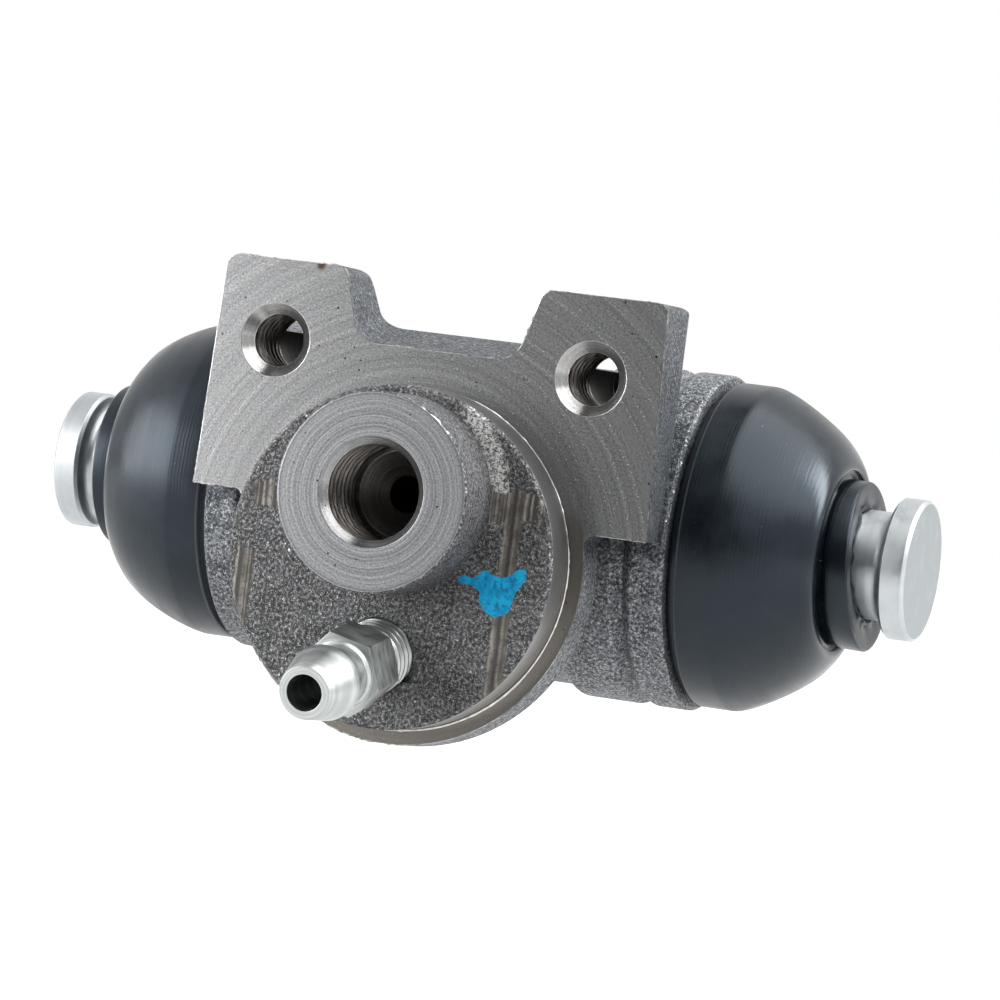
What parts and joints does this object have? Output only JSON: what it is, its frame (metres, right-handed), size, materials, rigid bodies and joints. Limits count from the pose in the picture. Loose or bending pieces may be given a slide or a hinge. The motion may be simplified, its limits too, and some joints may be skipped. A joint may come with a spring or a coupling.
{
  "type": "wheel cylinder",
  "caption": "Drum brake wheel cylinder: cast body with lugged mounting flange, opposed sliding pistons under rubber boots, threaded pipe port and a bleed screw.",
  "frame": {"origin": "centre of the locating spigot on the plane of the mounting face", "axes": "+X along the bore to the right-hand piston, +Y from the mounting face into the body, +Z towards the mounting lugs"},
  "size_m": [0.0878, 0.0595, 0.0441],
  "materials": {
    "cast_iron": "rough as cast, with turned faces",
    "piston_steel": "turned and plated",
    "plated_steel": "bright zinc plated",
    "spring_steel": "drawn wire",
    "boot_rubber": "satin moulded",
    "cup_rubber": "moulded"
  },
  "bodies": {
    "casting": {"cylinder_body": "cast_iron", "return_spring": "spring_steel", "boot_left": "boot_rubber", "boot_right": "boot_rubber"},
    "left_piston": {"piston_left": "piston_steel", "cup_seal_left": "cup_rubber", "cup_expander_left": "plated_steel"},
    "right_piston": {"piston_right": "piston_steel", "cup_seal_right": "cup_rubber", "cup_expander_right": "plated_steel"},
    "bleeder": {"bleed_screw": "plated_steel"}
  },
  "joints": [
    {"name": "left_piston_slide", "type": "slide", "parent": "casting", "child": "left_piston", "axis": [-1, 0, 0], "range_m": [-0.003, 0.005], "deforming": ["boot_left", "return_spring"]},
    {"name": "right_piston_slide", "type": "slide", "parent": "casting", "child": "right_piston", "axis": [1, 0, 0], "range_m": [-0.003, 0.005], "deforming": ["boot_right", "return_spring"]},
    {"name": "bleed_screw_turn", "type": "hinge", "parent": "casting", "child": "bleeder", "pos_m": [0, -0.0046, -0.0092], "axis": [0, -0.9816, -0.1908], "range_deg": [0, 360]}
  ]
}
